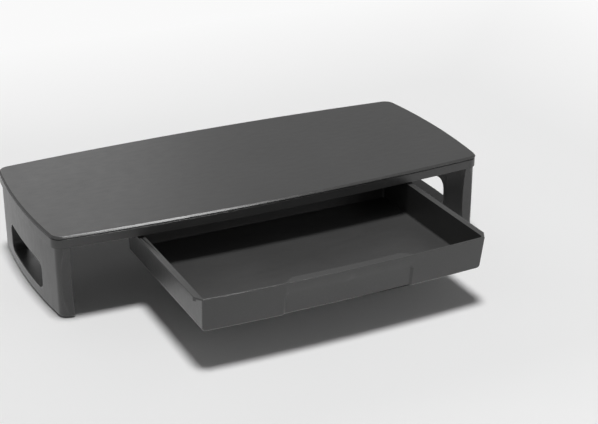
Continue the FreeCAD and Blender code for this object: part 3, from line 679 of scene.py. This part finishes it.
def light_world(colour, setup):
    """Even fill light, a pale backdrop for the camera, and a calmer one in gloss."""
    world = bpy.data.worlds.new("studio")
    world.use_nodes = True
    bpy.context.scene.world = world
    nodes = world.node_tree.nodes
    links = world.node_tree.links
    nodes.clear()
    rays = nodes.new("ShaderNodeLightPath")
    level = None
    for ray, strength in (("Is Glossy Ray", setup.shine), ("Is Transmission Ray", FULL),
                          ("Is Camera Ray", FULL)):
        step = nodes.new("ShaderNodeMapRange")
        step.inputs["To Min"].default_value = setup.fill
        step.inputs["To Max"].default_value = strength
        links.new(rays.outputs[ray], step.inputs["Value"])
        if level:
            links.new(level.outputs["Result"], step.inputs["To Min"])
        level = step
    background = nodes.new("ShaderNodeBackground")
    background.inputs["Color"].default_value = (*colour, 1)
    links.new(level.outputs["Result"], background.inputs["Strength"])
    output = nodes.new("ShaderNodeOutputWorld")
    links.new(background.outputs["Background"], output.inputs["Surface"])


def add_lamp(name, kind, strength, place, aim, size, diffuse=True):
    data = bpy.data.lights.new(name, kind)
    data.energy = strength
    if kind == "SUN":
        data.angle = size
    else:
        data.shape = "RECTANGLE"
        data.size, data.size_y = size
    lamp = bpy.data.objects.new(name, data)
    lamp.location = place
    lamp.visible_diffuse = diffuse
    lamp.rotation_euler = (Vector(aim) - Vector(place)).to_track_quat("-Z", "Y").to_euler()
    bpy.context.scene.collection.objects.link(lamp)


def add_camera(view):
    turn, rise = view.azimuth, view.elevation
    back = Vector((math.sin(turn) * math.cos(rise), -math.cos(turn) * math.cos(rise), math.sin(rise)))
    data = bpy.data.cameras.new("camera")
    data.sensor_width = SENSOR
    data.lens = view.lens
    camera = bpy.data.objects.new("camera", data)
    camera.location = Vector(view.target) + back * view.distance
    camera.rotation_euler = (-back).to_track_quat("-Z", "Y").to_euler()
    bpy.context.scene.collection.objects.link(camera)
    bpy.context.scene.camera = camera


class STAND_OT_stage(bpy.types.Operator):
    """Set up the pale floor, soft lamps and camera"""
    bl_idname = "stand.stage"
    bl_label = "Stage"

    def execute(self, context):
        setup = stage()
        context.scene.view_settings.view_transform = "Standard"
        ground = bmesh.new()
        bmesh.ops.create_grid(ground, x_segments=1, y_segments=1, size=FLOOR_HALF,
                              matrix=Matrix.Translation((0, 0, DESK)))
        mesh = bpy.data.meshes.new("studio_floor")
        ground.to_mesh(mesh)
        ground.free()
        mesh.materials.append(floor_material(setup.floor, setup.backdrop))
        floor = bpy.data.objects.new("studio_floor", mesh)
        context.scene.collection.objects.link(floor)
        light_world(setup.backdrop, setup)
        add_lamp("overhead", "SUN", setup.overhead, place=(0, 0, 2), aim=(0, 0, 0), size=SUN_SPREAD)
        add_lamp("softbox", "AREA", setup.softbox, place=(0.28, -0.95, 1.56), aim=(0, -0.1, 0),
                 size=(0.5, 0.9), diffuse=False)
        add_lamp("side", "AREA", setup.side, place=(1.6, -2.2, 0.9), aim=(0, -0.2, -0.05),
                 size=(1.2, 0.9))
        add_lamp("back", "AREA", setup.back, place=(0, 2.2, 1), aim=(-0.1, 0, 0), size=(1.4, 0.8))
        add_camera(setup)
        return {"FINISHED"}


class STAND_PT_panel(bpy.types.Panel):
    """Lists the stand's settings and steps"""
    bl_label = "Monitor stand"
    bl_idname = "STAND_PT_panel"
    bl_space_type = "VIEW_3D"
    bl_region_type = "UI"
    bl_category = "Monitor stand"

    def draw(self, context):
        for group in (finish(), edges(), stage()):
            box = self.layout.box()
            for key in group.bl_rna.properties.keys():
                if key not in ("rna_type", "name"):
                    box.prop(group, key)
        for step in STEPS:
            self.layout.operator(step.bl_idname)


STEPS = (STAND_OT_platform, STAND_OT_legs, STAND_OT_drawer, STAND_OT_rails, STAND_OT_feet,
         STAND_OT_screws, STAND_OT_stage)
GROUPS = {"stand_finish": StandFinish, "stand_edges": StandEdges, "stand_stage": StandStage}


def register():
    for group in GROUPS.values():
        bpy.utils.register_class(group)
    for name, group in GROUPS.items():
        setattr(bpy.types.Scene, name, bpy.props.PointerProperty(type=group))
    for step in (*STEPS, STAND_PT_panel):
        bpy.utils.register_class(step)


def unregister():
    for step in reversed((*STEPS, STAND_PT_panel)):
        bpy.utils.unregister_class(step)
    for name in GROUPS:
        delattr(bpy.types.Scene, name)
    for group in reversed(GROUPS.values()):
        bpy.utils.unregister_class(group)


def main():
    register()
    bpy.ops.stand.platform()
    bpy.ops.stand.legs()
    bpy.ops.stand.drawer()
    bpy.ops.stand.rails()
    bpy.ops.stand.feet()
    bpy.ops.stand.screws()
    bpy.ops.stand.stage()


if __name__ == "__main__":
    main()
